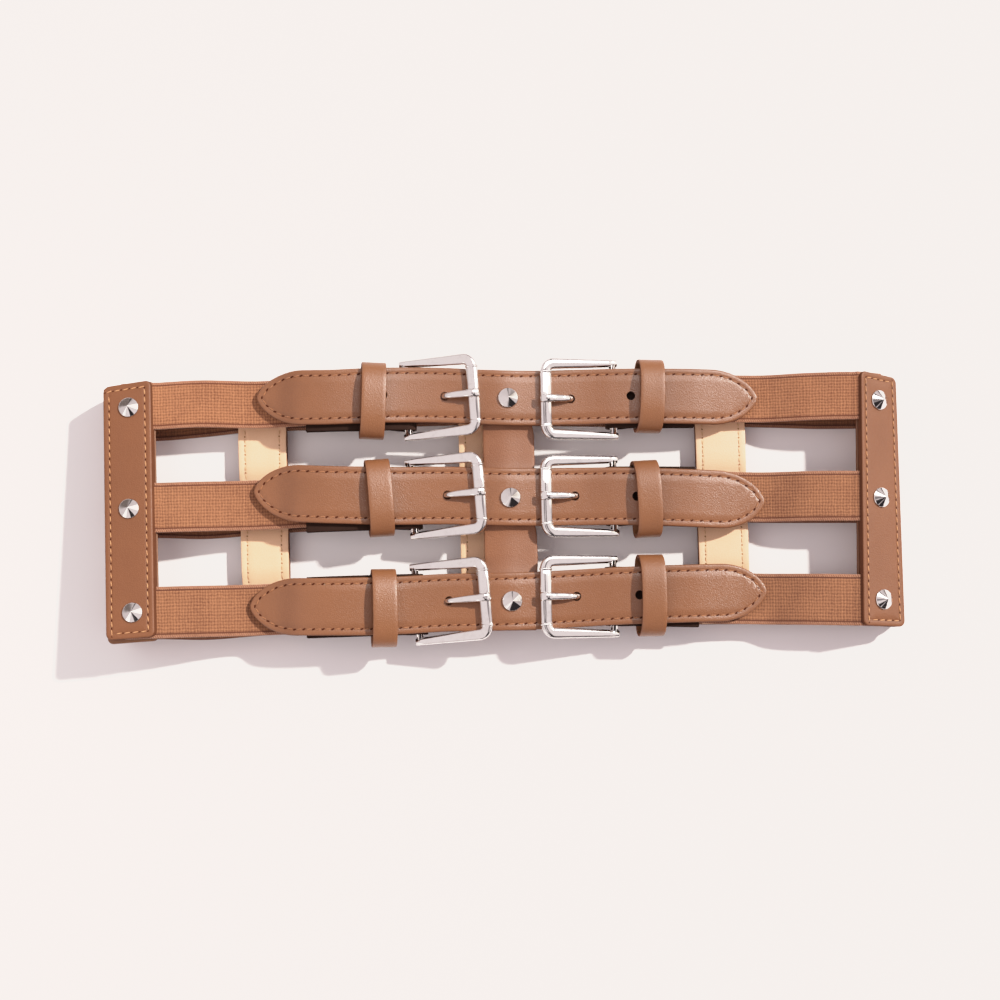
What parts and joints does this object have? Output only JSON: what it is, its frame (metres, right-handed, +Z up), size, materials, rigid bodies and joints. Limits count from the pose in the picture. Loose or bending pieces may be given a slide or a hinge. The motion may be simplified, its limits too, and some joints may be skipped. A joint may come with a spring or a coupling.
{
  "type": "elastic belt",
  "caption": "Wide elastic waist belt lying flattened: leather straps in rows buckle at each side to elastic bands that run round upright studded end tabs and along the back.",
  "frame": {"origin": "on the surface the belt lies on, under the middle of its box", "axes": "+X along the flattened belt, to the right in the picture; +Y up the belt's height; +Z up from the surface, out of the belt's front"},
  "size_m": [0.3466, 0.1254, 0.0298],
  "materials": {
    "brown_leather": "smooth finished leather with a soft sheen",
    "dark_leather": "smooth leather, a shade darker",
    "cream_lining": "matt lining leather",
    "brown_elastic": "ribbed woven elastic",
    "polished_metal": "polished plating over cast metal"
  },
  "bodies": {
    "root": {"strap_1": "brown_leather", "front_elastic_left_1": "brown_elastic", "chape_left_1": "dark_leather", "keeper_left_1": "brown_leather", "buckle_left_1": "polished_metal", "prong_left_1": "polished_metal", "front_elastic_right_1": "brown_elastic", "chape_right_1": "dark_leather", "keeper_right_1": "brown_leather", "buckle_right_1": "polished_metal", "prong_right_1": "polished_metal", "stud_centre_1": "polished_metal", "back_elastic_1": "brown_elastic", "strap_2": "brown_leather", "front_elastic_left_2": "brown_elastic", "chape_left_2": "dark_leather", "keeper_left_2": "brown_leather", "buckle_left_2": "polished_metal", "prong_left_2": "polished_metal", "front_elastic_right_2": "brown_elastic", "chape_right_2": "dark_leather", "keeper_right_2": "brown_leather", "buckle_right_2": "polished_metal", "prong_right_2": "polished_metal", "stud_centre_2": "polished_metal", "back_elastic_2": "brown_elastic", "strap_3": "brown_leather", "front_elastic_left_3": "brown_elastic", "chape_left_3": "dark_leather", "keeper_left_3": "brown_leather", "buckle_left_3": "polished_metal", "prong_left_3": "polished_metal", "front_elastic_right_3": "brown_elastic", "chape_right_3": "dark_leather", "keeper_right_3": "brown_leather", "buckle_right_3": "polished_metal", "prong_right_3": "polished_metal", "stud_centre_3": "polished_metal", "back_elastic_3": "brown_elastic", "centre_strip": "brown_leather", "tab_face_left": "brown_leather", "tab_lining_left": "cream_lining", "stud_left_1": "polished_metal", "stud_left_2": "polished_metal", "stud_left_3": "polished_metal", "tab_face_right": "brown_leather", "tab_lining_right": "cream_lining", "stud_right_1": "polished_metal", "stud_right_2": "polished_metal", "stud_right_3": "polished_metal", "back_strip_left": "brown_leather", "back_strip_lining_left": "cream_lining", "back_strip_centre": "brown_leather", "back_strip_lining_centre": "cream_lining", "back_strip_right": "brown_leather", "back_strip_lining_right": "cream_lining"}
  },
  "joints": []
}
